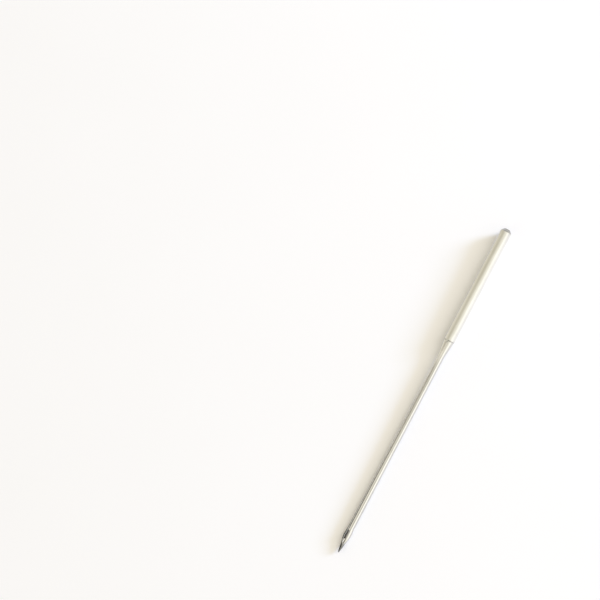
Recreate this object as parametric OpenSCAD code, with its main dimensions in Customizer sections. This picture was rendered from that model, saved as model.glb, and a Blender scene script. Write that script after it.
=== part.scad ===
// Sewing machine needle with a round shank, a long thread groove and a scarf.
// It is drawn upright, with its butt on the origin and its point up, and then laid down as it rests
// on a table: groove up, point towards -X, touching at the shoulder's edge and at the cheeks' rims.

/* [Length] */
// Overall length from the butt's face to the point
needle_len = 51.8; // [42:0.1:60]
// Length of the shank, from the butt's face to the shoulder's edge
shank_len = 17.8; // [12:0.1:24]
// Length of the cone between the shoulder's edge and the blade
cone_len = 2.5; // [1.5:0.1:4]
// Length of the taper from the blade to the tip
taper_len = 4.2; // [3.6:0.1:5.4]

/* [Section] */
// Diameter of the shank, which the needle bar grips
shank_d = 1.70; // [1.6:0.01:2]
// Diameter of the blade
blade_d = 1.00; // [0.9:0.01:1.1]
// Radius of the rounded tip
tip_r = 0.07; // [0.04:0.01:0.12]

/* [Butt and shoulder] */
// Diameter of the flat face on the butt's end
butt_face_d = 0.84; // [0.6:0.02:1.1]
// Length of the cone on the butt's end
butt_cone_len = 0.42; // [0.2:0.02:0.8]
// Radius of the turn from the butt's cone to the shank
butt_round_r = 0.30; // [0.1:0.05:0.5]
// Drop in radius at the shoulder's edge
shoulder_drop = 0.07; // [0.03:0.01:0.12]
// Length of the bevel on the shoulder's edge
shoulder_bevel = 0.10; // [0.05:0.01:0.2]
// Radius of the hollow turn from the cone to the blade
cone_blend_r = 7; // [3:0.5:9]

/* [Thread groove] */
// Width of the long groove
groove_w = 0.42; // [0.34:0.01:0.5]
// Height of the long groove's floor above the needle's axis
groove_floor = 0.11; // [0.06:0.01:0.2]
// Widening of the groove's walls on each side, in degrees
groove_draft = 5; // [2:1:10]
// Distance from the shoulder's edge to the groove's closed end
groove_start = 0.12; // [0:0.01:1]
// Radius of the groove's run-out below the eye
groove_runout_r = 1.6; // [1:0.1:3]

/* [Eye] */
// Width of the eye
eye_w = 0.38; // [0.3:0.01:0.4]
// Length of the eye
eye_len = 1.35; // [1:0.05:1.6]
// Distance from the tip to the eye's near end
eye_from_tip = 2.15; // [2:0.05:2.6]
// Width over the two cheeks beside the eye
cheek_w = 1.16; // [1.1:0.01:1.24]
// Slope of the cheeks where they rise from the blade, in degrees
cheek_rise = 5; // [4:0.5:8]
// Slope of the cheeks where they fall to the taper, in degrees
cheek_fall = 15; // [12:0.5:20]
// Radius of the cheeks' crown, along the needle
cheek_crown_r = 3; // [2:0.1:5]

/* [Scarf side] */
// Distance from the tip to the scarf's near end
scarf_from_tip = 3.3; // [3:0.1:3.8]
// Length of the scarf
scarf_len = 3.4; // [2.4:0.1:5]
// Depth of the scarf
scarf_depth = 0.18; // [0.1:0.01:0.24]
// Radius of the short groove's curved floor
short_groove_r = 4; // [2.5:0.1:5]
// Distance from the tip to the short groove's deepest place
short_groove_from_tip = 3.4; // [3:0.1:3.8]
// Depth of the short groove's floor below the needle's axis, at its deepest place
short_groove_floor = 0.13; // [0.08:0.01:0.2]

/* [Hidden] */
$fn = 128;
plated_steel = [0.86, 0.86, 0.84];
// Cutters reach past the surfaces that they open by this much
clear = 1;
// Facets in a full turn of the scarf's large circle
scarf_fn = 720;
// Steps along each short arc of the outlines, and along the taper's long arc
arc_steps = 8;
taper_steps = 24;
// Angle through which the run-out rises, which takes it clear of the needle
runout_angle = 60;

shank_r = shank_d / 2;
blade_r = blade_d / 2;
butt_face_r = butt_face_d / 2;
cone_top_r = shank_r - shoulder_drop;
cone_start = shank_len + shoulder_bevel;
cone_end = shank_len + cone_len;
taper_start = needle_len - taper_len;
// The taper is one arc, tangent to the blade and to the rounded tip
taper_arc_r = (pow(taper_len - tip_r, 2) + blade_r * blade_r - tip_r * tip_r) / (2 * (blade_r - tip_r));
taper_angle = atan2(taper_len - tip_r, taper_arc_r - blade_r);
tip_centre = needle_len - tip_r;

groove_r = groove_w / 2;
groove_end = needle_len - eye_from_tip - eye_w / 2;
groove_foot = shank_len + groove_start + groove_r;
eye_r = eye_w / 2;
eye_low = needle_len - eye_from_tip - eye_len + eye_r;
eye_high = needle_len - eye_from_tip - eye_r;
eye_middle = (eye_low + eye_high) / 2;

// Each cheek is a spindle about a line beside the axis, which stays inside the blade above and below
cheek_offset = groove_r / 2;
cheek_r = cheek_w / 2 - cheek_offset;

scarf_end = needle_len - scarf_from_tip;
scarf_start = scarf_end - scarf_len;
scarf_r = (pow(scarf_len / 2, 2) + scarf_depth * scarf_depth) / (2 * scarf_depth);
short_groove_middle = needle_len - short_groove_from_tip;

// At rest the needle lies on the shoulder's edge and on what touches first as the point comes down:
// the blade behind the scarf, the short groove's rims in front of it, or the rims of the cheeks
function body_r(s) =
    s < taper_start ? blade_r
    : blade_r - taper_arc_r + sqrt(taper_arc_r * taper_arc_r - pow(s - taper_start, 2));
function rest_angle(s, depth) = atan((shank_r - depth) / (s - shank_len));
rest_tilt = min(
    rest_angle(scarf_start, blade_r),
    rest_angle(scarf_end, sqrt(pow(body_r(scarf_end), 2) - groove_r * groove_r)),
    rest_angle(eye_middle, sqrt(cheek_r * cheek_r - pow(groove_r - cheek_offset, 2))));
rest_lift = shank_len * sin(rest_tilt) + shank_r * cos(rest_tilt);
rest_shift = (tip_centre * cos(rest_tilt) + tip_r - butt_face_r * sin(rest_tilt)) / 2;

// Points of an arc about a centre, from one angle to another
function arc(centre, r, from, to, steps) =
    [for (i = [0 : steps]) let (a = from + (to - from) * i / steps) centre + r * [cos(a), sin(a)]];

// Points of a rounded turn at corner b, between the lines from a and to c
function unit(v) = v / norm(v);
function turn(a, b, c, r) =
    let (
        u = unit(a - b),
        v = unit(c - b),
        half = acos(u * v) / 2,
        centre = b + unit(u + v) * r / sin(half),
        spoke = b + u * r / tan(half) - centre,
        from = atan2(spoke.y, spoke.x),
        side = cross(u, v) < 0 ? 1 : -1
    )
    arc(centre, r, from, from + side * (180 - 2 * half), arc_steps);

// The needle as it comes off the lathe, before the grooves and the eye
module turned_blank() {
    face = [butt_face_r, 0];
    butt_cone = [shank_r, butt_cone_len];
    edge = [shank_r, shank_len];
    cone_top = [cone_top_r, cone_start];
    cone_foot = [blade_r, cone_end];
    blade_end = [blade_r, taper_start];
    rotate_extrude()
    polygon(concat(
        [[0, 0], face],
        turn(face, butt_cone, edge, butt_round_r),
        [edge, cone_top],
        turn(cone_top, cone_foot, blade_end, cone_blend_r),
        arc([blade_r - taper_arc_r, taper_start], taper_arc_r, 0, taper_angle, taper_steps),
        arc([0, tip_centre], tip_r, taper_angle, 90, arc_steps)));
}

// Half outline of one cheek: a round crown beside the eye, between a long and a short straight flank
module cheek_outline() {
    crown = arc([cheek_r - cheek_crown_r, 0], cheek_crown_r, -cheek_rise, cheek_fall, arc_steps);
    foot = crown[0];
    top = crown[arc_steps];
    polygon(concat(
        [[0, foot.y - foot.x / tan(cheek_rise)]],
        crown,
        [[0, top.y + top.x / tan(cheek_fall)]]));
}

// The two swellings that stand beside the eye
module cheeks() {
    for (side = [-1, 1])
        translate([0, side * cheek_offset, eye_middle]) rotate_extrude() cheek_outline();
}

// Section of a groove: a round floor at the origin and walls that open outwards along +X
module groove_section() {
    wall_foot = [groove_r * (1 - sin(groove_draft)), groove_r * cos(groove_draft)];
    depth = shank_r + clear;
    wall_top = [depth, wall_foot.y + (depth - wall_foot.x) * tan(groove_draft)];
    translate([groove_r, 0]) circle(r = groove_r);
    polygon([wall_foot, wall_top, [wall_top.x, -wall_top.y], [wall_foot.x, -wall_foot.y]]);
}

// A groove that runs along a circle of radius r, as a disc with a round rim cuts it
module disc_groove(r, angle) {
    rotate_extrude(angle = angle)
    intersection() {
        translate([r, 0]) mirror([1, 0]) groove_section();
        translate([0, -r]) square([r, 2 * r]);
    }
}

// The long groove, closed at the shoulder, straight along the blade and running out below the eye
module long_groove() {
    translate([groove_floor, 0, groove_foot]) {
        linear_extrude(groove_end - groove_foot) groove_section();
        rotate([0, 90, 0])
            rotate_extrude()
            intersection() {
                mirror([1, -1]) groove_section();
                square([shank_r, shank_d + clear]);
            }
    }
    translate([groove_floor + groove_runout_r, 0, groove_end])
        rotate([90, 0, 180]) disc_groove(groove_runout_r, runout_angle);
}

// The short groove over the eye on the scarf's side
module short_groove() {
    translate([-short_groove_floor - short_groove_r, 0, short_groove_middle])
        rotate([90, 0, 0]) disc_groove(short_groove_r, 360);
}

// The eye, an opening with round ends through the whole blade
module eye() {
    for (s = [eye_low, eye_high])
        translate([0, 0, s]) rotate([0, 90, 0]) cylinder(r = eye_r, h = blade_d + clear, center = true);
    translate([-(blade_d + clear) / 2, -eye_r, eye_low]) cube([blade_d + clear, eye_w, eye_high - eye_low]);
}

// The hollow on the side away from the long groove
module scarf() {
    translate([-blade_r + scarf_depth - scarf_r, 0, (scarf_start + scarf_end) / 2])
        rotate([90, 0, 0]) cylinder(r = scarf_r, h = blade_d + clear, center = true, $fn = scarf_fn);
}

// The one solid piece
module needle() {
    color(plated_steel)
    translate([rest_shift, 0, rest_lift])
    rotate([0, -90 - rest_tilt, 0])
    difference() {
        union() {
            turned_blank();
            cheeks();
        }
        long_groove();
        eye();
        scarf();
        short_groove();
    }
}

needle();
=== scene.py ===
"""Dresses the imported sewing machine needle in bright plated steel, on a pale table in daylight."""
import logging
import math
from dataclasses import dataclass, field
from enum import Enum
from typing import Any

import bmesh
import bpy
import numpy as np
from mathutils import Matrix, Vector


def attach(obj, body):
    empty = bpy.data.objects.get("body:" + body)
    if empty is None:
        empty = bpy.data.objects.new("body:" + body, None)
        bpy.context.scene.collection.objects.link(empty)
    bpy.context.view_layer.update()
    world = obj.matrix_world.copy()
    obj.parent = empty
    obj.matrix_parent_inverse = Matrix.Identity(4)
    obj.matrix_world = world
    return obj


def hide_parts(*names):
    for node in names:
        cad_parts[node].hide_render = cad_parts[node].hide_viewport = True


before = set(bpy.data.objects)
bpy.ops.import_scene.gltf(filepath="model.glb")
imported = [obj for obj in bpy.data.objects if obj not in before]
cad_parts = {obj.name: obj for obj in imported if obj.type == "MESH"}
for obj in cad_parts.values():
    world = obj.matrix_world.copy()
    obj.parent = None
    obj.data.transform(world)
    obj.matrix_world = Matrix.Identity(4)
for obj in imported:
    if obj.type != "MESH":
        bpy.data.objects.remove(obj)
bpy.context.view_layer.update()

LOG = logging.getLogger("needle")
MM = 0.001
WHITE = (1.0, 1.0, 1.0)
# A height above all of the steel, which stands for no cut
NO_CUT = 9.0
Array = np.ndarray
Colour = tuple[float, float, float]
Span = tuple[float, float]
Point = tuple[float, float]


def past(start: float, span: Span) -> Span:
    """A span that is measured from a place, as a span from zero."""
    return start + span[0], start + span[1]


def in_metres(span: Span) -> Span:
    """A span in millimetres, as one in metres."""
    return span[0] * MM, span[1] * MM


# Shader maths

class Socket:
    """One output of a shader node, with the arithmetic that the finishes use."""

    def __init__(self, shader: "Shader", link: bpy.types.NodeSocket) -> None:
        """Keeps the shader that the output belongs to, and the output itself."""
        self.shader = shader
        self.link = link

    def _math(self, operation: str, *values: Any) -> "Socket":
        """Adds one Math node."""
        return self.shader.node("ShaderNodeMath", {"operation": operation}, dict(enumerate(values)))

    def __add__(self, other: Any) -> "Socket":
        """This plus the other."""
        return self._math("ADD", self, other)

    def __radd__(self, other: Any) -> "Socket":
        """The other plus this."""
        return self._math("ADD", other, self)

    def __sub__(self, other: Any) -> "Socket":
        """This less the other."""
        return self._math("SUBTRACT", self, other)

    def __rsub__(self, other: Any) -> "Socket":
        """The other less this."""
        return self._math("SUBTRACT", other, self)

    def __mul__(self, other: Any) -> "Socket":
        """This times the other."""
        return self._math("MULTIPLY", self, other)

    def __rmul__(self, other: Any) -> "Socket":
        """The other times this."""
        return self._math("MULTIPLY", other, self)

    def __abs__(self) -> "Socket":
        """This without its sign."""
        return self._math("ABSOLUTE", self)

    def part(self, axis: str) -> "Socket":
        """One part of a vector."""
        return self.shader.node("ShaderNodeSeparateXYZ", {}, {0: self}, output=axis)

    def stretched(self, factors: Any) -> "Socket":
        """A vector or colour with each part multiplied."""
        return self.shader.node("ShaderNodeVectorMath", {"operation": "MULTIPLY"}, {0: self, 1: factors})

    def toward(self, direction: Vector) -> "Socket":
        """How far a vector reaches in a direction."""
        settings, inputs = {"operation": "DOT_PRODUCT"}, {0: self, 1: tuple(direction)}
        return self.shader.node("ShaderNodeVectorMath", settings, inputs, output="Value")

    def band(self, low: float, high: float) -> "Socket":
        """A smooth step.

        Args:
            low: value at which the step starts; it may be the larger of the two.
            high: value at which the step ends.

        Returns:
            0 before the step, 1 after it.
        """
        return self.shader.node(
            "ShaderNodeMapRange",
            {"interpolation_type": "SMOOTHSTEP"},
            {"Value": self, "From Min": low, "From Max": high, "To Min": 0.0, "To Max": 1.0},
        )


class Shader:
    """Writes one node tree."""

    def __init__(self, tree: bpy.types.NodeTree) -> None:
        """Takes a tree and empties it."""
        self.tree = tree
        tree.nodes.clear()

    def node(
        self,
        kind: str,
        settings: dict[str, Any] | None = None,
        inputs: dict[Any, Any] | None = None,
        output: int | str = 0,
    ) -> Socket:
        """Adds a node, sets it up and links it.

        Args:
            kind: the node's type, as Blender names it.
            settings: the node's own properties, set before its sockets.
            inputs: values or sockets for its inputs, by name or number.
            output: the output that is returned.

        Returns:
            The chosen output.
        """
        made = self.tree.nodes.new(kind)
        for name, value in (settings or {}).items():
            setattr(made, name, value)
        for key, value in (inputs or {}).items():
            socket = made.inputs[key]
            if isinstance(value, Socket):
                self.tree.links.new(value.link, socket)
            elif isinstance(value, tuple) and socket.type == "RGBA":
                socket.default_value = (*value, 1.0)
            else:
                socket.default_value = value
        return Socket(self, made.outputs[output] if made.outputs else None)

    @classmethod
    def fresh(cls, name: str, piece: bpy.types.Object) -> "Shader":
        """Starts a new material.

        Args:
            name: the material's name.
            piece: the piece that gets it.

        Returns:
            The writer of the material's tree.
        """
        made = bpy.data.materials.new(name)
        made.use_nodes = True
        piece.data.materials.append(made)
        return cls(made.node_tree)

    def mix(self, factor: Any, first: Any, second: Any) -> Socket:
        """A blend of two colours."""
        inputs = {0: factor, 6: first, 7: second}
        return self.node("ShaderNodeMix", {"data_type": "RGBA"}, inputs, output=2)

    def noise(self, place: Socket, scale: float, detail: float, roughness: float = 0.5) -> Socket:
        """The height of a noise texture."""
        inputs = {"Vector": place, "Scale": scale, "Detail": detail, "Roughness": roughness}
        return self.node("ShaderNodeTexNoise", {}, inputs)

    def ray(self, kind: str) -> Socket:
        """1 for one kind of ray, such as Camera or Glossy, and 0 for the others."""
        return self.node("ShaderNodeLightPath", output=f"Is {kind} Ray")


# Sizes and forms

@dataclass(frozen=True)
class NeedleSizes:
    """The needle's sizes, in millimetres and degrees, as the part has them."""

    length: float = 51.8
    shank_len: float = 17.8
    cone_len: float = 2.5
    taper_len: float = 4.2
    shank_r: float = 0.85
    blade_r: float = 0.5
    tip_r: float = 0.07
    butt_face_r: float = 0.42
    butt_face_round: float = 0.05
    butt_cone_len: float = 0.42
    butt_round: float = 0.30
    shoulder_drop: float = 0.07
    shoulder_bevel: float = 0.10
    shoulder_round: float = 0.03
    cone_blend_r: float = 7.0
    groove_r: float = 0.21
    groove_floor: float = 0.11
    groove_draft: float = 5.0
    groove_end_gap: float = 0.22
    runout_r: float = 1.6
    eye_r: float = 0.19
    eye_len: float = 1.35
    eye_from_tip: float = 2.15
    cheek_w: float = 1.16
    cheek_rise: float = 5.0
    cheek_fall: float = 15.0
    cheek_crown_r: float = 3.0
    scarf_from_tip: float = 3.3
    scarf_len: float = 3.4
    scarf_depth: float = 0.18
    short_r: float = 4.0
    short_from_tip: float = 3.4
    short_floor: float = 0.13
    rim_round: float = 0.05

    @property
    def tip_centre(self) -> float:
        """Station of the centre of the rounded tip."""
        return self.length - self.tip_r

    @property
    def taper_start(self) -> float:
        """Station where the blade starts to taper."""
        return self.length - self.taper_len

    @property
    def taper_arc_r(self) -> float:
        """Radius of the long arc that the taper follows."""
        rise = self.taper_len - self.tip_r
        return (rise**2 + self.blade_r**2 - self.tip_r**2) / (2 * (self.blade_r - self.tip_r))

    @property
    def taper_angle(self) -> float:
        """Angle that the taper turns through, in radians."""
        return math.atan2(self.taper_len - self.tip_r, self.taper_arc_r - self.blade_r)

    @property
    def eye_low(self) -> float:
        """Station of the centre of the eye's round end towards the butt."""
        return self.length - self.eye_from_tip - self.eye_len + self.eye_r

    @property
    def eye_high(self) -> float:
        """Station of the centre of the eye's round end towards the tip."""
        return self.length - self.eye_from_tip - self.eye_r

    @property
    def eye_middle(self) -> float:
        """Station of the middle of the eye."""
        return (self.eye_low + self.eye_high) / 2

    @property
    def groove_foot(self) -> float:
        """Station of the centre of the long groove's round closed end."""
        return self.shank_len + self.groove_end_gap + self.groove_r

    @property
    def cheek_offset(self) -> float:
        """Distance of each cheek's own axis from the needle's axis."""
        return self.groove_r / 2

    @property
    def cheek_r(self) -> float:
        """Radius of each cheek at its crown."""
        return self.cheek_w / 2 - self.cheek_offset

    @property
    def scarf_r(self) -> float:
        """Radius of the scarf's hollow, along the needle."""
        return ((self.scarf_len / 2) ** 2 + self.scarf_depth**2) / (2 * self.scarf_depth)

    @property
    def scarf_middle(self) -> float:
        """Station of the deepest place of the scarf."""
        return self.length - self.scarf_from_tip - self.scarf_len / 2

    @property
    def short_middle(self) -> float:
        """Station of the deepest place of the short groove."""
        return self.length - self.short_from_tip

    @property
    def rest_tilt(self) -> float:
        """Angle at which the needle rests on the shoulder's edge and on the cheeks' rims, in radians."""
        rim = math.sqrt(self.cheek_r**2 - (self.groove_r - self.cheek_offset) ** 2)
        return math.atan((self.shank_r - rim) / (self.eye_middle - self.shank_len))

    @property
    def rest_lift(self) -> float:
        """Height of the butt's centre over the table."""
        return self.shank_len * math.sin(self.rest_tilt) + self.shank_r * math.cos(self.rest_tilt)

    @property
    def rest_shift(self) -> float:
        """Place of the butt's centre along the table, which puts the needle's middle on the origin."""
        reach = self.tip_centre * math.cos(self.rest_tilt) + self.tip_r
        return (reach - self.butt_face_r * math.sin(self.rest_tilt)) / 2


def finished(bm: bmesh.types.BMesh, name: str) -> bpy.types.Object:
    """Makes an object of a finished bmesh.

    Args:
        bm: the bmesh, which is freed.
        name: the name of the object and its mesh.

    Returns:
        The object, linked to the scene.
    """
    mesh = bpy.data.meshes.new(name)
    bm.to_mesh(mesh)
    bm.free()
    piece = bpy.data.objects.new(name, mesh)
    bpy.context.scene.collection.objects.link(piece)
    return piece


def arc(centre: Point, radius: float, start: float, end: float, steps: int) -> list[Point]:
    """Points of an arc in the outline's plane.

    Args:
        centre: station and radius of its centre.
        radius: its own radius.
        start: first angle in radians, from the station's axis.
        end: last angle.
        steps: number of steps.

    Returns:
        The points, as pairs of station and radius.
    """
    angles = np.linspace(start, end, steps + 1)
    return [(centre[0] + radius * math.cos(a), centre[1] + radius * math.sin(a)) for a in angles]


def rounded(before: Point, corner: Point, after: Point, radius: float, steps: int) -> list[Point]:
    """Points of a rounded corner of the outline.

    Args:
        before: a point on the line that comes in.
        corner: the sharp corner.
        after: a point on the line that goes out.
        radius: radius of the round.
        steps: number of steps.

    Returns:
        The points of the arc, as pairs of station and radius.
    """
    c = np.array(corner)
    u = np.array(before) - c
    v = np.array(after) - c
    u = u / np.linalg.norm(u)
    v = v / np.linalg.norm(v)
    half = math.acos(float(u @ v)) / 2
    middle = c + (u + v) / np.linalg.norm(u + v) * radius / math.sin(half)
    spoke = c + u * radius / math.tan(half) - middle
    start = math.atan2(spoke[1], spoke[0])
    side = 1 if u[0] * v[1] - u[1] * v[0] < 0 else -1
    return arc(tuple(middle), radius, start, start + side * (math.pi - 2 * half), steps)


def smooth_step(x: Array | float) -> Array:
    """0 below 0, 1 above 1, smooth between them."""
    t = np.clip(x, 0, 1)
    return t * t * (3 - 2 * t)


def smooth_max(a: Array, b: Array, width: float) -> Array:
    """The larger of two distances, with the corner between them rounded over a width."""
    h = np.maximum(width - np.abs(a - b), 0) / width
    return np.maximum(a, b) + h * h * width / 4


def square_turn(a: Array, b: Array) -> Array:
    """Angle, in radians, of a ring's point that lies a rows on and b columns across from its centre."""
    return np.radians(np.where(a >= b, 45 * b / np.maximum(a, 1), 90 - 45 * a / np.maximum(b, 1)))


class NeedleSection:
    """The needle's surface as a function of place: station s, side y and height h towards the groove."""

    outline_steps = 60

    def __init__(self, sizes: NeedleSizes) -> None:
        """Works out the turned outline and the foot of a groove's wall.

        Args:
            sizes: the needle's sizes.
        """
        self.z = sizes
        self.table = np.array(self.outline(self.outline_steps)).T
        self.draft = math.radians(sizes.groove_draft)
        self.foot = sizes.groove_r * math.cos(self.draft)
        self.foot_rise = sizes.groove_r * (1 - math.sin(self.draft))

    def outline(self, steps: int) -> list[Point]:
        """The turned outline from the butt's centre to the tip.

        Args:
            steps: number of steps in each short arc.

        Returns:
            The outline's points, as pairs of station and radius.
        """
        z = self.z
        face = (0.0, z.butt_face_r)
        cone = (z.butt_cone_len, z.shank_r)
        edge = (z.shank_len, z.shank_r)
        bevel = (z.shank_len + z.shoulder_bevel, z.shank_r - z.shoulder_drop)
        blade = (z.shank_len + z.cone_len, z.blade_r)
        taper = (z.taper_start, z.blade_r)
        swing = (z.taper_start, z.blade_r - z.taper_arc_r)
        up, down = math.pi / 2, math.pi / 2 - z.taper_angle
        return [
            (0.0, 0.0),
            *rounded((0.0, 0.0), face, cone, z.butt_face_round, steps),
            *rounded(face, cone, edge, z.butt_round, steps),
            *rounded(cone, edge, bevel, z.shoulder_round, steps),
            *rounded(edge, bevel, blade, z.shoulder_round, steps),
            *rounded(bevel, blade, taper, z.cone_blend_r, 3 * steps),
            *arc(swing, z.taper_arc_r, up, down, 3 * steps),
            *arc((z.tip_centre, 0.0), z.tip_r, down, 0.0, steps)[1:],
        ]

    def radius(self, s: Array) -> Array:
        """Radius of the turned outline at a station past the butt's face."""
        return np.interp(s, self.table[0], self.table[1])

    def cheek(self, s: Array) -> Array:
        """Radius of each cheek.

        Args:
            s: station.

        Returns:
            The radius, which is below zero where there is no cheek.
        """
        z = self.z
        t = s - z.eye_middle
        rise, fall = math.radians(z.cheek_rise), math.radians(z.cheek_fall)
        base, r = z.cheek_r - z.cheek_crown_r, z.cheek_crown_r
        crown = base + np.sqrt(np.maximum(r * r - t * t, 0))
        up = base + r * math.cos(rise) + (t + r * math.sin(rise)) * math.tan(rise)
        down = base + r * math.cos(fall) - (t - r * math.sin(fall)) * math.tan(fall)
        return np.where(t < -r * math.sin(rise), up, np.where(t > r * math.sin(fall), down, crown))

    def outer_height(self, s: Array, y: Array) -> Array:
        """Height of the uncut surface.

        Args:
            s: station.
            y: side.

        Returns:
            The height over the axis, the same on both sides of the blade.
        """
        plain = np.sqrt(np.maximum(self.radius(s) ** 2 - y * y, 0))
        r = np.maximum(self.cheek(s), 0)
        cheek = np.sqrt(np.maximum(r * r - (np.abs(y) - self.z.cheek_offset) ** 2, 0))
        return np.maximum(plain, cheek)

    def outer_reach(self, s: Array, angle: Array) -> Array:
        """Distance from the axis to the uncut surface.

        Args:
            s: station.
            angle: angle from the groove's side, in radians.

        Returns:
            The distance.
        """
        offset = self.z.cheek_offset
        r = np.maximum(self.cheek(s), 0)
        rest = r * r - (np.cos(angle) * offset) ** 2
        cheek = np.where(rest > 0, np.sin(angle) * offset + np.sqrt(np.maximum(rest, 0)), 0)
        return np.maximum(self.radius(s), cheek)

    def floor_rise(self, rho: Array) -> Array:
        """How far a groove's floor and wall stand over its floor line.

        Args:
            rho: distance from the groove's middle.

        Returns:
            The height over the floor line.
        """
        r = self.z.groove_r
        low = r - np.sqrt(np.maximum(r * r - np.minimum(rho, self.foot) ** 2, 0))
        return low + np.maximum(rho - self.foot, 0) / math.tan(self.draft)

    def long_height(self, s: Array, rho: Array) -> Array:
        """Height of the long groove's surface.

        Args:
            s: station.
            rho: distance from the groove's middle.

        Returns:
            The height over the axis, or NO_CUT past the groove's run-out.
        """
        z = self.z
        rise = self.floor_rise(rho)
        past_eye = np.maximum(s - z.eye_high, 0)
        inside = (z.runout_r - rise) ** 2 - past_eye**2
        curved = z.groove_floor + z.runout_r - np.sqrt(np.maximum(inside, 0))
        return np.where(past_eye > 0, np.where(inside > 0, curved, NO_CUT), z.groove_floor + rise)

    def low_height(self, s: Array, y: Array) -> Array:
        """Height of the surface on the scarf's side, cuts included.

        Args:
            s: station.
            y: side.

        Returns:
            The height over the axis, below zero.
        """
        z = self.z
        reach = (z.short_r - self.floor_rise(np.abs(y))) ** 2 - (s - z.short_middle) ** 2
        short = -z.short_floor - z.short_r + np.sqrt(np.maximum(reach, 0))
        hollow = z.scarf_r**2 - (s - z.scarf_middle) ** 2
        scarf = -z.blade_r + z.scarf_depth - z.scarf_r + np.sqrt(np.maximum(hollow, 0))
        return np.maximum(-self.outer_height(s, y), np.maximum(short, scarf))

    def groove_distance(self, rho: Array, rise: Array) -> Array:
        """Distance outside a groove's section.

        Args:
            rho: distance from the groove's middle.
            rise: height over its floor line.

        Returns:
            The distance, below zero inside the groove.
        """
        r = self.z.groove_r
        round_part = np.hypot(rho, rise - r) - r
        wall = (rho - self.foot) * math.cos(self.draft) - (rise - self.foot_rise) * math.sin(self.draft)
        return np.where(rise - r > -rho * math.tan(self.draft), wall, round_part)

    def distance(self, s: Array, y: Array, h: Array) -> Array:
        """Signed distance from the finished surface.

        Args:
            s: station.
            y: side.
            h: height.

        Returns:
            The distance, below zero inside the steel.
        """
        z = self.z
        blade = np.hypot(y, h) - self.radius(s)
        cheek = np.hypot(np.abs(y) - z.cheek_offset, h) - self.cheek(s)
        outer = -smooth_max(-blade, -cheek, z.rim_round / 2)
        rho = np.hypot(y, np.minimum(s - z.groove_foot, 0))
        centre = z.groove_floor + z.runout_r
        curved = z.runout_r - np.hypot(s - z.eye_high, h - centre)
        rise = np.where((s > z.eye_high) & (h < centre), curved, h - z.groove_floor)
        long_cut = -self.groove_distance(rho, rise)
        depth = z.short_r - np.hypot(s - z.short_middle, h + z.short_floor + z.short_r)
        short_cut = -self.groove_distance(np.abs(y), depth)
        scarf_cut = z.scarf_r - np.hypot(s - z.scarf_middle, h + z.blade_r - z.scarf_depth + z.scarf_r)
        solid = smooth_max(outer, scarf_cut, z.rim_round)
        solid = smooth_max(solid, short_cut, z.rim_round)
        return smooth_max(solid, long_cut, z.rim_round)

    def settle(self, place: Array, rounds: int = 6) -> Array:
        """Moves points that lie near the surface on to it.

        Args:
            place: grids of stations, sides and heights.
            rounds: number of steps.

        Returns:
            The places on the surface.
        """
        small, least_slope, longest = 1e-4, 0.2, 0.05
        for _ in range(rounds):
            value = self.distance(*place)
            slope = np.array([
                (self.distance(*(place + step)) - self.distance(*(place - step))) / (2 * small)
                for step in small * np.eye(3)[:, :, None, None]
            ])
            size = np.maximum((slope**2).sum(0), least_slope)
            place = place - np.clip(value / size, -longest, longest) * slope
        return place


# The needle's mesh

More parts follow.
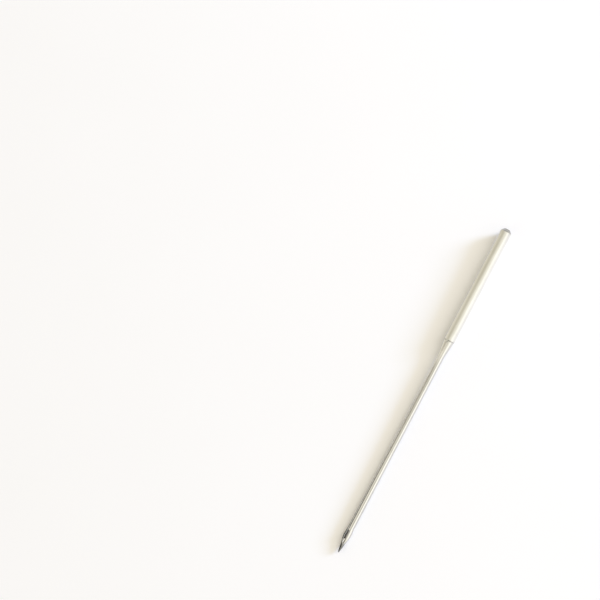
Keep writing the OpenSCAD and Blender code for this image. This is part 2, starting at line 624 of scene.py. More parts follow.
@dataclass
class NeedleShell:
    """The needle's surface, laid out as a flat sheet, wrapped, mirrored and bored through at the eye.

    The sheet is half of the surface. Its rows are stations from the butt to the tip. Its columns are a
    zone that starts in the long groove's middle, the flank, and a zone that ends in the middle of the
    scarf's side. Each zone's first columns follow the eye's outline.
    """

    z: NeedleSizes
    floor_cols: int = 8
    zone_cols: int = 17
    flank_cols: int = 36

    # How many rows each part has, where their spacing changes, and the spacings
    face_rings: tuple[float, ...] = (0.1, 0.2, 0.3)
    shank_rows: int = 22
    shank_end: float = 0.3
    round_steps: int = 6
    tip_steps: int = 10
    tip_room: Span = (0.3, 0.2)
    cone_room: float = 1.0
    scarf_room: float = 0.5
    eye_room: float = 0.44
    close_rows: float = 0.04
    cheek_rows: float = 0.05
    cone_rows: float = 0.08
    blade_rows: float = 0.8
    even_length: float = 6.0

    # Columns on the groove's wall, by its rim, and where there is no wall
    bend_angle: float = 75.0
    wall_shares: Span = (0.33, 0.66)
    rim_near: Span = (0.06, 0.2)
    rim_edge: Span = (0.02, 0.08)
    rim_steps: tuple[float, ...] = (0.012, 0.029, 0.048)
    wall_fade: float = 0.012
    rim_search: Span = (0.1, 0.4)
    loose_widths: tuple[float, ...] = (0.203, 0.217, 0.231, 0.246, 0.261, 0.277, 0.294, 0.312, 0.331)
    loose_angle: float = 0.9
    loose_reach: float = 0.39

    merge_gap: float = 1e-4
    eye_round: float = 0.016
    eye_segments: int = 3

    section: NeedleSection = field(init=False)
    cols: int = field(init=False)
    rows: Array = field(init=False)
    radii: Array = field(init=False)
    plain_rows: int = field(init=False)
    groove_row: int = field(init=False)
    eye_first: int = field(init=False)
    eye_last: int = field(init=False)
    tail_row: int = field(init=False)

    def __post_init__(self) -> None:
        """Works out the section and the sheet's columns and rows."""
        self.section = NeedleSection(self.z)
        self.cols = 2 * self.zone_cols + self.flank_cols + 1
        self.set_rows()

    def head_points(self) -> list[Point]:
        """Works out the rows with no cut, at the butt's end.

        Returns:
            Their stations and radii.
        """
        z = self.z
        outline = self.section.outline(self.round_steps)
        shoulder = z.shank_len + z.shoulder_bevel + 2 * z.shoulder_round
        start = [p for p in outline if p[0] < z.shank_len / 2]
        start = start[:1] + [(0.0, r) for r in self.face_rings] + start[1:]
        stations = np.linspace(start[-1][0], z.shank_len - self.shank_end, self.shank_rows)
        shank = [(s, z.shank_r) for s in stations[1:]]
        return start + shank + [p for p in outline if z.shank_len / 2 <= p[0] < shoulder]

    def set_rows(self) -> None:
        """Works out the rows, and which of them are at the groove's end, the eye's ends and the tip."""
        z, floor = self.z, self.floor_cols
        head = self.head_points()
        tip_start = z.tip_centre - self.tip_room[1]
        tail = [p for p in self.section.outline(self.tip_steps) if p[0] > tip_start]
        self.plain_rows = len(head)
        self.groove_row = self.plain_rows + self.zone_cols
        rows = [s for s, _ in head] + [z.groove_foot] * (self.zone_cols + 1)

        def reach(to: float, spacing: float) -> None:
            """Adds evenly spaced rows up to a station."""
            count = max(1, round((to - rows[-1]) / spacing))
            rows.extend(np.linspace(rows[-1], to, count + 1)[1:])

        reach(z.shank_len + z.cone_len + self.cone_room, self.cone_rows)
        reach(z.scarf_middle - z.scarf_len / 2 - self.scarf_room, self.blade_rows)
        reach(z.eye_low - self.eye_room, self.cheek_rows)
        rows.extend([z.eye_low] * (2 * floor))
        self.eye_first = len(rows) - 1
        reach(z.eye_high, self.close_rows)
        self.eye_last = len(rows) - 1
        rows.extend([z.eye_high] * (2 * floor - 1))
        rows.append(z.eye_high + self.eye_room)
        reach(z.tip_centre - self.tip_room[0], self.close_rows)
        self.tail_row = len(rows)
        blade = self.section.radius(np.array(rows[len(head):]))
        self.rows = np.array(rows + [s for s, _ in tail])
        self.radii = np.array([r for _, r in head] + list(blade) + [r for _, r in tail])

    def lay_out(self) -> Array:
        """Works out where each point of the sheet goes.

        Returns:
            Its stations, sides and heights, as three grids.
        """
        z = self.z
        row, col = np.indices((len(self.rows), self.zone_cols + 1)).astype(float)
        base = self.rows[:, None] * np.ones_like(col)
        top_s, top_y = self.ring_groove(row, col, base)
        low_s = top_s[:, -1:] * np.ones_like(col)
        low_y = self.plain_widths(base, col.astype(int))
        for first, sign, centre in ((self.eye_first, -1, z.eye_low), (self.eye_last, 1, z.eye_high)):
            on = (row - first) * sign
            top_s, top_y = self.ring_eye(on, col, centre, sign, top_s, top_y)
            low_s, low_y = self.ring_eye(on, col, centre, sign, low_s, low_y)
        return self.ring_ends(self.wrap(top_s, top_y, low_s, low_y))

    def ring_groove(self, row: Array, col: Array, base: Array) -> tuple[Array, Array]:
        """Lays the long groove's zone, with rings about its round closed end.

        Args:
            row: each point's row.
            col: each point's column.
            base: each row's station.

        Returns:
            The points' stations and sides.
        """
        on = self.groove_row - row
        here = (on >= 0) & (on <= self.zone_cols)
        turn = square_turn(on, col)
        toward = np.where(here, np.cos(turn), 0.0)
        across = np.where(here, np.sin(turn), 1.0)
        ring = np.where(here, np.maximum(on, col), col).astype(int)
        rho = self.zone_widths(base, toward, across, ring)
        return base - rho * toward, rho * across

    def ring_eye(
        self, on: Array, col: Array, centre: float, sign: int, s: Array, y: Array,
    ) -> tuple[Array, Array]:
        """Bends a zone into rings about one round end of the eye, the same on both sides of the blade.

        Args:
            on: rows from the centre of the eye's end, outwards.
            col: each point's column.
            centre: station of that centre.
            sign: 1 for the end towards the tip, -1 for the other.
            s: the points' stations.
            y: the points' sides.

        Returns:
            The new stations and sides.
        """
        r, floor = self.z.eye_r, self.floor_cols
        here = (on >= 0) & (on <= 2 * floor)
        inner = here & (on <= floor) & (col <= floor)
        outer = here & (on > floor)
        turn = square_turn(on, col)
        ring_r = r * np.maximum(on, col) / floor
        side_s = r * np.sin(np.radians(45 * np.minimum(on, floor) / floor))
        mouth = np.radians(45 * np.minimum(col, floor) / floor)
        mouth_s = np.where(col <= floor, r * np.cos(mouth), r * math.cos(math.pi / 4))
        mouth_y = r * np.sin(mouth)
        t = np.clip((on - floor) / floor, 0, 1)
        out_s = (1 - t) * mouth_s + t * self.eye_room
        blend = smooth_step(t)
        bent = np.where(col <= floor, (1 - blend) * mouth_y + blend * y, y)
        new_s = centre + sign * np.where(inner, ring_r * np.cos(turn), np.where(outer, out_s, side_s))
        new_y = np.where(inner, ring_r * np.sin(turn), np.where(outer, bent, y))
        return np.where(here, new_s, s), np.where(here, new_y, y)

    def wrap(self, top_s: Array, top_y: Array, low_s: Array, low_y: Array) -> Array:
        """Puts both zones on the needle's surface and lays the flank between them.

        Args:
            top_s: stations of the long groove's zone.
            top_y: its sides.
            low_s: stations of the zone on the scarf's side.
            low_y: its sides.

        Returns:
            The sheet's stations, sides and heights, as three grids.
        """
        z, sec = self.z, self.section
        far = np.hypot(np.minimum(top_s - z.groove_foot, 0), top_y)
        groove = np.where(top_s > z.shank_len, sec.long_height(top_s, far), NO_CUT)
        top_h = np.minimum(sec.outer_height(top_s, top_y), groove)
        low_h = sec.low_height(low_s, low_y)
        first = self.side_angle(top_s[:, -1], top_y[:, -1])
        final = math.pi - self.side_angle(low_s[:, -1], low_y[:, -1])
        share = np.arange(1, self.flank_cols)[None, :] / self.flank_cols
        flank = first[:, None] * (1 - share) + final[:, None] * share
        flank_s = top_s[:, -1:] * (1 - share) + low_s[:, -1:] * share
        reach = sec.outer_reach(flank_s, flank)
        flank_y = reach * np.sin(flank)
        flank_h = reach * np.cos(flank)
        cut_h = np.maximum(flank_h, sec.low_height(flank_s, flank_y))
        flank_h = np.where(flank > math.pi / 2, cut_h, flank_h)
        s = np.hstack([top_s, flank_s, low_s[:, ::-1]])
        y = np.hstack([top_y, flank_y, low_y[:, ::-1]])
        h = np.hstack([top_h, flank_h, low_h[:, ::-1]])
        place = sec.settle(np.array([s, y, h]))
        place[1, :, 0] = place[1, :, -1] = 0.0
        return place

    def ring_ends(self, place: Array) -> Array:
        """Makes plain rings of the rows with no cut, evenly spaced on the shank.

        Args:
            place: the sheet's stations, sides and heights.

        Returns:
            The same with the butt's and the tip's rows as rings.
        """
        turn = np.arctan2(place[1], place[2])
        even = np.linspace(0, math.pi, self.cols)[None, :]
        share = smooth_step(np.clip((self.z.shank_len - self.rows) / self.even_length, 0, 1)[:, None])
        head_turn = turn[self.plain_rows] * (1 - share) + even * share
        number = np.arange(len(self.rows))[:, None]
        head, tail = number < self.plain_rows, number >= self.tail_row
        angle = np.where(head, head_turn, turn[self.tail_row - 1])
        radii = self.radii[:, None]
        stations = self.rows[:, None] * np.ones((1, self.cols))
        rings = np.array([stations, radii * np.sin(angle), radii * np.cos(angle)])
        return np.where(head | tail, rings, place)

    def side_angle(self, s: Array, y: Array) -> Array:
        """Finds the angle at which the uncut surface has a given width.

        Args:
            s: station.
            y: half the width.

        Returns:
            The angle from the groove's side, in radians.
        """
        start, rounds, least, steepest = 0.5, 12, 1e-6, 0.95
        angle = np.full_like(s, start)
        for _ in range(rounds):
            reach = np.maximum(self.section.outer_reach(s, angle), least)
            angle = np.arcsin(np.clip(y / reach, 0, steepest))
        return angle

    def floor_widths(self) -> list[float]:
        """Widths of the columns up to the eye's side."""
        return [self.z.eye_r * k / self.floor_cols for k in range(self.floor_cols + 1)]

    def plain_widths(self, s: Array, col: Array) -> Array:
        """Widths of a zone's columns where no wall guides them.

        Args:
            s: station.
            col: number of the column.

        Returns:
            The widths, in millimetres.
        """
        steps = np.array(self.floor_widths() + list(self.loose_widths))
        reach = self.section.outer_reach(s, np.full_like(s, self.loose_angle))
        return steps[col] * np.minimum(1, reach / self.loose_reach)

    def rim_width(self, s: Array, toward: Array, across: Array) -> Array:
        """Finds where the long groove's wall meets the uncut surface.

        Args:
            s: station of the middle that each is measured from.
            toward: share of the distance that runs towards the butt.
            across: share of the distance that runs sideways.

        Returns:
            The distance from the groove's middle.
        """
        sec, rounds = self.section, 30
        low, high = (np.full_like(s, end) for end in self.rim_search)
        for _ in range(rounds):
            mid = (low + high) / 2
            over = sec.long_height(s, mid) > sec.outer_height(s - mid * toward, mid * across)
            low, high = np.where(over, low, mid), np.where(over, mid, high)
        return (low + high) / 2

    def zone_widths(self, s: Array, toward: Array, across: Array, ring: Array) -> Array:
        """Distances of the groove's columns and rings from its middle.

        Args:
            s: station of the middle that each is measured from.
            toward: share of the distance that runs towards the butt.
            across: share of the distance that runs sideways.
            ring: number of the column or ring.

        Returns:
            The distances, in millimetres, with the wall and the rim between them.
        """
        sec = self.section
        rim = self.rim_width(s, toward, across)
        wall = np.maximum(rim - sec.foot, 0)
        height = np.maximum(wall / math.tan(sec.draft), 1e-3)
        near, edge = (np.minimum(gap / height, most) for gap, most in (self.rim_near, self.rim_edge))
        bend = self.z.groove_r * math.sin(math.radians(self.bend_angle))
        shares = (*self.wall_shares, 1 - near, 1 - edge)
        places = [
            *self.floor_widths(), bend, sec.foot,
            *(sec.foot + wall * share for share in shares),
            *(rim + step for step in self.rim_steps),
        ]
        fitted = np.zeros_like(s)
        for number, width in enumerate(places):
            fitted = np.where(ring == number, width, fitted)
        loose = self.plain_widths(s, ring)
        return loose + (fitted - loose) * smooth_step(wall / self.wall_fade)

    def build(self) -> bpy.types.Object:
        """Makes the needle's object.

        Returns:
            The finished mesh object, lying as the CAD node lies.
        """
        place = self.lay_out()
        bm = bmesh.new()
        last_row, last_col = len(self.rows) - 1, self.cols - 1
        bmesh.ops.create_grid(bm, x_segments=last_row, y_segments=last_col, size=1.0)
        grid: dict[tuple[int, int], bmesh.types.BMVert] = {}
        for v in bm.verts:
            row = round((v.co.x + 1) / 2 * last_row)
            col = round((v.co.y + 1) / 2 * last_col)
            grid[row, col] = v
        self.open_eye(bm, grid)
        for (row, col), v in grid.items():
            if v.is_valid:
                s, y, h = place[:, row, col]
                v.co = (h, y, s)
        self.close_round(bm)
        self.bore(bm)
        self.lay_down(bm)
        piece = finished(bm, "needle_steel")
        piece.data.shade_smooth()
        return piece

    def open_eye(self, bm: bmesh.types.BMesh, grid: dict[tuple[int, int], bmesh.types.BMVert]) -> None:
        """Takes the faces inside the eye's outline off both sides of the blade.

        Args:
            bm: the flat sheet.
            grid: its points, by row and column.
        """
        floor = self.floor_cols
        first, last = self.eye_first - floor, self.eye_last + floor
        place = {v: key for key, v in grid.items()}

        def inside(face: bmesh.types.BMFace) -> bool:
            """Tells whether a face lies in the eye.

            Args:
                face: the face.

            Returns:
                True if it does.
            """
            keys = [place[v] for v in face.verts]
            if any(row < first or row > last for row, _ in keys):
                return False
            on_top = all(col <= floor for _, col in keys)
            return on_top or all(col >= self.cols - 1 - floor for _, col in keys)

        bmesh.ops.delete(bm, geom=[f for f in bm.faces if inside(f)], context="FACES")

    def close_round(self, bm: bmesh.types.BMesh) -> None:
        """Mirrors the half shell, joins the halves and turns the faces outwards.

        Args:
            bm: the half shell.
        """
        everything = bm.verts[:] + bm.edges[:] + bm.faces[:]
        bmesh.ops.mirror(bm, geom=everything, axis="Y", merge_dist=self.merge_gap)
        bmesh.ops.remove_doubles(bm, verts=bm.verts[:], dist=self.merge_gap)
        bmesh.ops.recalc_face_normals(bm, faces=bm.faces[:])

    def bore(self, bm: bmesh.types.BMesh) -> None:
        """Joins the two mouths of the eye through the blade and rounds their rims.

        Args:
            bm: the shell, open only at the mouths.
        """
        rims = [e for e in bm.edges if e.is_boundary]
        bmesh.ops.bridge_loops(bm, edges=rims)
        bmesh.ops.recalc_face_normals(bm, faces=bm.faces[:])
        bmesh.ops.bevel(
            bm, geom=rims, offset=self.eye_round, offset_type="OFFSET", segments=self.eye_segments,
            profile=0.5, affect="EDGES", material=-1, clamp_overlap=True,
        )

    def lay_down(self, bm: bmesh.types.BMesh) -> None:
        """Lays the needle on the table as it rests, in metres.

        Args:
            bm: the closed shell, in millimetres, standing on the butt.
        """
        z = self.z
        turn = Matrix.Rotation(-math.pi / 2 - z.rest_tilt, 4, "Y")
        place = Matrix.Scale(MM, 4) @ Matrix.Translation((z.rest_shift, 0.0, z.rest_lift)) @ turn
        bmesh.ops.transform(bm, matrix=place, verts=bm.verts[:])


# Finishes

class Grain(Enum):
    """Which way a finish's fine lines run: the noise's changes in a millimetre up, across and along."""

    AROUND = (0.5, 0.5, 24.0)
    ALONG = (20.0, 20.0, 0.12)
    CLOUDY = (0.9, 0.9, 0.35)
    SCRATCHED = (9.0, 9.0, 0.6)


@dataclass(frozen=True)
class SteelMap:
    """Where each part of the steel's finish lies, from 0 to 1, and its fine lines."""

    station: Socket
    across: Socket
    shank: Socket
    point: Socket
    cut: Socket
    cloud: Socket
    rings: Socket
    polish: Socket
    scratches: Socket


@dataclass(frozen=True)
class PlatedSteel:
    """Bright nickel plate: ground round the shank, polished along the blade and satin in the cuts, with
    painted shade and dark reflections in the grooves, on the edges and on the point.

    A span runs from where a part of the finish or of the painted shade is absent to where it is full, in
    millimetres from the form that the part belongs to, but the cloud, polish and scratch spans are
    levels of the noise.
    """

    sizes: NeedleSizes
    name: str = "plated_steel"

    # Colours, and how much of each is mixed in
    bright: Colour = (0.80, 0.79, 0.755)
    clouded: Colour = (0.74, 0.73, 0.69)
    satin: Colour = (0.96, 0.95, 0.93)
    # Painted shade: a dark line along the foot of each wall of the long groove
    painted_groove_shade: Colour = (0.21, 0.20, 0.175)
    # Painted shade and dark reflection on the shoulder's step and on the butt's rim and bevel
    painted_edge_shade: Colour = (0.24, 0.24, 0.23)
    # Colour of the point: its ground finish, darkened further as a painted dark reflection
    ground: Colour = (0.20, 0.20, 0.195)
    cut_share: float = 0.9
    polish_share: float = 0.2
    shoulder_share: float = 0.42
    rim_share: float = 0.55
    bevel_share: float = 0.45
    point_share: float = 0.9

    # Gloss and fine lines
    satin_share: float = 0.22
    rough_blade: float = 0.12
    rough_shank: float = 0.14
    rough_cut: float = 0.22
    rough_point: float = 0.30
    cloud_rough: float = 0.06
    lines_rough: float = 0.08
    scratch_rough: float = 0.06
    grain_rough: float = 0.6
    line_height: float = 1.5e-6
    point_lines: float = 0.6
    polish_lines: float = 1.2
    scratch_lines: float = 0.8

    # Where each part of the finish lies
    shank_span: Span = (0.1, 0.0)
    point_span: Span = (-2.1, -0.9)
    above_span: Span = (-0.12, 0.02)
    by_eye_span: Span = (-1.6, -0.9)
    cut_side: Span = (0.035, -0.015)
    cut_start: Span = (-0.03, 0.03)
    cut_end: Span = (1.25, 0.95)
    cloud_span: Span = (0.35, 0.75)
    polish_span: Span = (0.5, 0.8)
    scratch_span: Span = (0.66, 0.74)
    # Where the painted shade line lies along the feet of the groove's walls
    line_start: Span = (19.5, 23.0)
    line_inside: Span = (0.05, 0.09)
    line_outside: Span = (0.165, 0.125)
    line_drift: Span = (28.0, 42.0)
    line_shift: float = 0.05
    # Where the painted dark edges lie on the shoulder and on the butt
    shoulder_start: Span = (-0.03, 0.01)
    shoulder_end: Span = (0.05, 0.0)
    butt_rim: Span = (0.13, 0.03)
    butt_bevel: Span = (0.46, 0.34)

    def place(self, sh: Shader) -> Socket:
        """The place on the needle, in its own directions and in millimetres.

        Args:
            sh: the material's tree.

        Returns:
            The height towards the groove, the side and the station, as a vector.
        """
        z = self.sizes
        return sh.node(
            "ShaderNodeMapping",
            {"vector_type": "TEXTURE"},
            {
                "Vector": sh.node("ShaderNodeTexCoord", output="Object"),
                "Location": (z.rest_shift * MM, 0.0, z.rest_lift * MM),
                "Rotation": (0.0, -math.pi / 2 - z.rest_tilt, 0.0),
                "Scale": (MM, MM, MM),
            },
        )

    def lines(self, sh: Shader, place: Socket, grain: Grain, detail: float = 3.0) -> Socket:
        """Noise that is stretched into fine lines."""
        return sh.noise(place.stretched(grain.value), 1.0, detail, self.grain_rough)

    def mapped(self, sh: Shader) -> SteelMap:
        """Works out where each part of the finish lies.

        Args:
            sh: the material's tree.

        Returns:
            The parts and the fine lines.
        """
        z = self.sizes
        place = self.place(sh)
        across = abs(place.part("Y"))
        station = place.part("Z")
        shank = station.band(*past(z.shank_len, self.shank_span))
        above = place.part("X").band(*self.above_span)
        by_eye = station.band(*past(z.eye_low, self.by_eye_span))
        cut = (
            across.band(*past(z.groove_r, self.cut_side))
            * station.band(*past(z.groove_foot - z.groove_r, self.cut_start))
            * station.band(*past(z.eye_high, self.cut_end))
            * (above + by_eye - above * by_eye)
        )
        return SteelMap(
            station=station,
            across=across,
            shank=shank,
            point=station.band(*past(z.length, self.point_span)),
            cut=cut,
            cloud=self.lines(sh, place, Grain.CLOUDY),
            rings=self.lines(sh, place, Grain.AROUND),
            polish=self.lines(sh, place, Grain.ALONG),
            scratches=self.lines(sh, place, Grain.SCRATCHED, 1.0).band(*self.scratch_span) * shank,
        )

    def colour(self, sh: Shader, on: SteelMap) -> Socket:
        """The steel's colour, with painted shade lines in the groove, painted shade and dark reflections
        on the shoulder and butt edges, and the ground point darkened further by a painted dark
        reflection.

        Args:
            sh: the material's tree.
            on: where each part of the finish lies.

        Returns:
            The colour.
        """
        z, station = self.sizes, on.station
        mottled = sh.mix(on.cloud.band(*self.cloud_span), self.bright, self.clouded)
        polished = on.polish.band(*self.polish_span) * self.polish_share * (1 - on.shank)
        streaked = sh.mix(on.cut * self.cut_share + polished, mottled, self.satin)
        # Painted shade line along the feet of the groove's walls
        foot = on.across - station.band(*self.line_drift) * self.line_shift
        line = foot.band(*self.line_inside) * foot.band(*self.line_outside) * on.cut
        groove_shaded = sh.mix(line * station.band(*self.line_start), streaked, self.painted_groove_shade)
        # Painted shade and dark reflection on the shoulder's step, the butt's rim and its bevel
        shoulder = station.band(*past(z.shank_len, self.shoulder_start))
        shoulder = shoulder * station.band(*past(z.shank_len + z.shoulder_bevel, self.shoulder_end))
        edges = (
            shoulder * self.shoulder_share
            + station.band(*self.butt_rim) * self.rim_share
            + station.band(*self.butt_bevel) * self.bevel_share
        )
        edge_shaded = sh.mix(edges, groove_shaded, self.painted_edge_shade)
        # The point's ground finish, darkened further as a painted dark reflection
        return sh.mix(on.point * self.point_share, edge_shaded, self.ground)

    def roughness(self, on: SteelMap) -> Socket:
        """How rough each part of the steel is.

        Args:
            on: where each part of the finish lies.

        Returns:
            The roughness.
        """
        return (
            self.rough_blade
            + on.shank * (self.rough_shank - self.rough_blade)
            + on.point * (self.rough_point - self.rough_blade)
            + on.cut * (self.rough_cut - self.rough_blade)
            + (on.cloud - 0.5) * self.cloud_rough
            + (on.rings - 0.5) * on.shank * self.lines_rough
            + (on.polish - 0.5) * (1 - on.shank) * self.lines_rough
            + on.scratches * self.scratch_rough
        )

    def dress(self, piece: bpy.types.Object) -> None:
        """Gives the steel to a piece, on Object coordinates turned into the needle's own.

        Args:
            piece: the needle's object.
        """
        sh = Shader.fresh(self.name, piece)
        on = self.mapped(sh)
        ground = on.rings * (on.shank + on.point * self.point_lines)
        grain = ground + on.polish * (self.polish_lines - on.shank) - on.scratches * self.scratch_lines
        relief = {"Strength": 1.0, "Distance": self.line_height, "Height": grain}
        inputs = {
            "Base Color": self.colour(sh, on),
            "Metallic": 1 - on.cut * self.satin_share,
            "Roughness": self.roughness(on),
            "Normal": sh.node("ShaderNodeBump", {}, relief),
        }
        surface = sh.node("ShaderNodeBsdfPrincipled", {}, inputs)
        sh.node("ShaderNodeOutputMaterial", {}, {"Surface": surface})


@dataclass(frozen=True)
class Table:
    """The pale table, which glows a little to the camera, and beside the shank in the steel too."""

    size: float = 1.2
    panels: int = 8
    colour: Colour = (0.90, 0.90, 0.91)
    shade: Colour = (0.88, 0.88, 0.885)
    grain_scale: float = 40.0
    grain_detail: float = 4.0
    glow: float = 0.14
    mirrored: float = 0.30
    beside: Span = (0.0, -1.0)
    shank_start: Span = (6.0, 9.0)
    shank_end: Span = (26.5, 25.5)

    def glowing(self, sh: Shader, place: Socket) -> Socket:
        """How much the table glows, which keeps the needle's shadow.

        Args:
            sh: the material's tree.
            place: the place on the table.

        Returns:
            The strength of the glow.
        """
        along, across = place.part("X"), place.part("Y")
        by_shank = (
            across.band(*in_metres(self.beside))
            * along.band(*in_metres(self.shank_start))
            * along.band(*in_metres(self.shank_end))
        )
        reflected = (sh.ray("Glossy") + sh.ray("Transmission")) * by_shank * self.mirrored
        return sh.ray("Camera") * self.glow + reflected

    def build(self) -> bpy.types.Object:
        """Makes the table's top.

        Returns:
            Its object.
        """
        bm = bmesh.new()
        bmesh.ops.create_grid(bm, x_segments=self.panels, y_segments=self.panels, size=self.size)
        piece = finished(bm, "table")
        sh = Shader.fresh("table_white", piece)
        place = sh.node("ShaderNodeTexCoord", output="Object")
        grain = sh.noise(place, self.grain_scale, self.grain_detail)
        diffuse = sh.node("ShaderNodeBsdfDiffuse", {}, {"Color": sh.mix(grain, self.shade, self.colour)})
        glow = sh.node("ShaderNodeEmission", {}, {"Color": WHITE, "Strength": self.glowing(sh, place)})
        both = sh.node("ShaderNodeAddShader", {}, {0: diffuse, 1: glow})
        sh.node("ShaderNodeOutputMaterial", {}, {"Surface": both})
        return piece


@dataclass(frozen=True)
class DarkCard:
    """A dark card by the point, only to be reflected in the steel, with its sizes in millimetres."""

    right: Vector
    up: Vector
    offset: float = -13.0
    low: float = -26.0
    high: float = 6.0
    tall: float = 5.0
    colour: Colour = (0.03, 0.032, 0.026)

    def build(self) -> bpy.types.Object:
        """Makes the card.

        Returns:
            The card's object, which only reflections show.
        """
        bm = bmesh.new()
        bmesh.ops.create_grid(bm, x_segments=1, y_segments=1, size=0.5)
        turn = Matrix((self.up, (0.0, 0.0, 1.0), self.right)).transposed().to_4x4()
        middle = self.right * self.offset + self.up * ((self.low + self.high) / 2)
        middle = middle + Vector((0.0, 0.0, self.tall / 2))
        scale = Matrix.Diagonal((self.high - self.low, self.tall, 1.0, 1.0))
        place = Matrix.Scale(MM, 4) @ Matrix.Translation(middle) @ turn @ scale
        bmesh.ops.transform(bm, matrix=place, verts=bm.verts[:])
        piece = finished(bm, "dark_card")
        piece.visible_camera = False
        piece.visible_diffuse = False
        piece.visible_shadow = False
        sh = Shader.fresh("card_black", piece)
        diffuse = sh.node("ShaderNodeBsdfDiffuse", {}, {"Color": self.colour})
        sh.node("ShaderNodeOutputMaterial", {}, {"Surface": diffuse})
        return piece


# Light and camera

@dataclass(frozen=True)
class Viewpoint:
    """A camera over the table, leaned about the needle, with both ends where the photograph has them.

    The photograph's needle is rolled about its own axis and this one isn't, so the camera leans instead.
    """

    sizes: NeedleSizes
    frame_px: float = 600.0
    butt_px: Point = (506.9, 229.0)
    tip_px: Point = (337.8, 551.7)
    px_per_mm: float = 7.03
    lens: float = 100.0
    sensor: float = 36.0
    lean: float = 25.0
    clip: Span = (0.01, 10.0)

    @property
    def focal_px(self) -> float:
        """Focal length in pixels."""
        return self.lens / self.sensor * self.frame_px

    @property
    def height(self) -> float:
        """Height of the camera over the table before it leans, in millimetres."""
        return self.focal_px / self.px_per_mm + self.sizes.rest_lift / 2

    def ends(self) -> tuple[Vector, Vector]:
        """Works out where the needle's ends are over the table.

        Returns:
            The butt's centre and the tip, in millimetres.
        """
        z = self.sizes
        reach = z.tip_centre
        far = z.rest_shift - reach * math.cos(z.rest_tilt) - z.tip_r
        tip = Vector((far, 0.0, z.rest_lift - reach * math.sin(z.rest_tilt)))
        return Vector((z.rest_shift, 0.0, z.rest_lift)), tip

    def on_table(self, pixel: Point, rise: float) -> Vector:
        """Finds what shows at a pixel.

        Args:
            pixel: its place in the picture, from the upper left corner.
            rise: height over the table of what shows there.

        Returns:
            The offset from the camera's axis, to the right and up, in millimetres.
        """
        middle = (self.frame_px - 1) / 2
        scale = (self.height - rise) / self.focal_px
        return Vector(((pixel[0] - middle) * scale, (middle - pixel[1]) * scale))

    @property
    def roll(self) -> float:
        """Turn of the camera about the vertical, in radians."""
        butt, tip = self.ends()
        seen = self.on_table(self.butt_px, butt.z) - self.on_table(self.tip_px, tip.z)
        return -math.atan2(seen.y, seen.x)

    @property
    def right(self) -> Vector:
        """The picture's right-hand direction on the table."""
        return Vector((math.cos(self.roll), math.sin(self.roll), 0.0))

    @property
    def up(self) -> Vector:
        """The picture's upward direction on the table."""
        return Vector((-math.sin(self.roll), math.cos(self.roll), 0.0))

    def leaned(self) -> Matrix:
        """Works out the camera's lean.

        Returns:
            The turn about the needle's axis that brings the camera from above the groove to its place.
        """
        butt, tip = self.ends()
        turn = Matrix.Rotation(math.radians(self.lean), 4, butt - tip)
        return Matrix.Translation(butt) @ turn @ Matrix.Translation(-butt)

    def build(self) -> bpy.types.Object:
        """Makes the camera.

        Returns:
            The camera's object.
        """
        places = []
        for end, pixel in zip(self.ends(), (self.butt_px, self.tip_px)):
            seen = self.on_table(pixel, end.z)
            places.append(end - seen.x * self.right - seen.y * self.up)
        middle = (places[0] + places[1]) / 2
        data = bpy.data.cameras.new("camera")
        data.lens, data.sensor_width = self.lens, self.sensor
        data.clip_start, data.clip_end = self.clip
        camera = bpy.data.objects.new("camera", data)
        over = Matrix.Translation((middle.x, middle.y, self.height))
        place = self.leaned() @ (over @ Matrix.Rotation(self.roll, 4, "Z"))
        camera.location = place.translation * MM
        camera.rotation_euler = place.to_euler()
        bpy.context.scene.collection.objects.link(camera)
        bpy.context.scene.camera = camera
        return camera


@dataclass(frozen=True)
class Lamp:
    """One soft lamp, which lights the table and isn't mirrored in the steel.

    The rise is in degrees over the table, and the width and height are in metres.
    """

    name: str
    rise: float
    width: float
    height: float
    level: float
    colour: Colour

    def build(self, side: Vector, distance: float) -> bpy.types.Object:
        """Makes the lamp.

        Args:
            side: the level direction in which it stands.
            distance: how far off it is, in metres.

        Returns:
            The lamp's object.
        """
        data = bpy.data.lights.new(self.name, "AREA")
        data.shape = "RECTANGLE"
        data.size, data.size_y = self.width, self.height
        data.color = self.colour
        data.energy = self.level * math.pi * self.width * self.height
        lamp = bpy.data.objects.new(self.name, data)
        rise = math.radians(self.rise)
        toward = side * math.cos(rise) + Vector((0.0, 0.0, math.sin(rise)))
        lamp.location = toward * distance
        lamp.rotation_euler = toward.to_track_quat("Z", "Y").to_euler()
        lamp.visible_glossy = False
        bpy.context.scene.collection.objects.link(lamp)
        return lamp


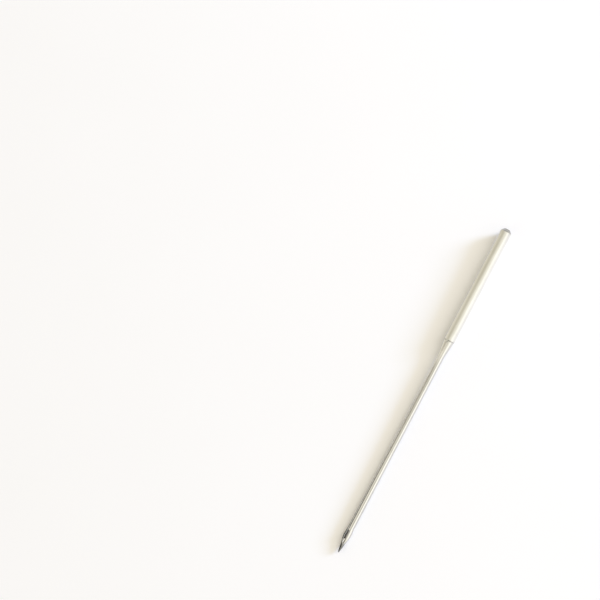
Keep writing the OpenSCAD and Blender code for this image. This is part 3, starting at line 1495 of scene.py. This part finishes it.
@dataclass(frozen=True)
class Daylight:
    """Soft light from the picture's right, and the warm, dimmer room that the steel mirrors.

    A span is measured in the parts of a direction, from -1 to 1.
    """

    view: Viewpoint
    left: Colour = (0.69, 0.65, 0.53)
    middle: Colour = (1.03, 1.0, 0.89)
    left_wall: Colour = (0.86, 0.82, 0.70)
    left_lamp: Colour = (1.30, 1.28, 1.16)
    window_side: Colour = (1.34, 1.32, 1.26)
    far_ends: Colour = (0.20, 0.20, 0.19)
    butt_end: Colour = (0.50, 0.50, 0.47)
    spread: Colour = (0.72, 0.687, 0.63)
    middle_span: Span = (-0.62, 0.06)
    wall_span: Span = (-0.79, -0.86)
    window_span: Span = (0.12, 0.52)
    left_lamp_span: Span = (-0.22, -0.42)
    beyond_tip_span: Span = (0.20, 0.45)
    butt_span: Span = (0.60, 0.82)
    tip_span: Span = (-0.60, -0.82)
    distance: float = 1.0
    turn: float = 15.0
    window: Lamp = Lamp("window", 15.2, 0.25, 0.22, 45.0, (0.78, 1.0, 1.53))
    skylight: Lamp = Lamp("skylight", 36.6, 0.25, 0.55, 7.4, (1.06, 1.0, 0.913))

    def room(self, where: Socket, sh: Shader) -> Socket:
        """The room's colour in each direction.

        Args:
            where: the direction.
            sh: the world's tree.

        Returns:
            The colour that the steel mirrors.
        """
        lean = self.view.leaned().to_3x3()
        side = where.toward(lean @ self.view.right)
        across = where.toward(lean @ Vector((0.0, -1.0, 0.0)))
        along = where.part("X")
        sides = sh.mix(side.band(*self.middle_span), self.left, self.middle)
        sides = sh.mix(side.band(*self.wall_span), sides, self.left_wall)
        sides = sh.mix(side.band(*self.window_span), sides, self.window_side)
        tip_end = sh.mix(across.band(*self.left_lamp_span), self.far_ends, self.left_lamp)
        tip_end = sh.mix(across.band(*self.beyond_tip_span), tip_end, self.middle)
        ended = sh.mix(along.band(*self.butt_span), sides, self.butt_end)
        return sh.mix(along.band(*self.tip_span), ended, tip_end)

    def build(self) -> list[bpy.types.Object]:
        """Makes the world and the two lamps.

        Returns:
            The lamps' objects.
        """
        world = bpy.data.worlds.new("daylight")
        bpy.context.scene.world = world
        world.use_nodes = True
        sh = Shader(world.node_tree)
        room = self.room(sh.node("ShaderNodeTexCoord", output="Generated"), sh)
        colour = sh.mix(sh.ray("Glossy"), room.stretched(self.spread), room)
        light = sh.node("ShaderNodeBackground", {}, {"Color": colour, "Strength": 1.0})
        white = sh.node("ShaderNodeBackground", {}, {"Color": WHITE, "Strength": 1.0})
        both = sh.node("ShaderNodeMixShader", {}, {0: sh.ray("Camera"), 1: light, 2: white})
        sh.node("ShaderNodeOutputWorld", {}, {"Surface": both})
        turn = math.radians(self.turn)
        side = self.view.right * math.cos(turn) + self.view.up * math.sin(turn)
        return [lamp.build(side, self.distance) for lamp in (self.window, self.skylight)]


def main() -> None:
    """Builds the needle, its table, light and camera."""
    logging.basicConfig(level=logging.INFO, format="%(name)s: %(message)s")
    bpy.context.scene.view_settings.view_transform = "Standard"
    sizes = NeedleSizes()
    needle = NeedleShell(sizes).build()
    PlatedSteel(sizes).dress(needle)
    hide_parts("needle")
    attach(needle, "root")
    LOG.info("%s: %d faces", needle.name, len(needle.data.polygons))

    view = Viewpoint(sizes)
    camera = view.build()
    for piece in (Table().build(), DarkCard(view.right, view.up).build()):
        LOG.info("%s: staged, %d faces", piece.name, len(piece.data.polygons))
    for item in (camera, *Daylight(view).build()):
        LOG.info("%s: placed", item.name)


if __name__ == "__main__":
    main()
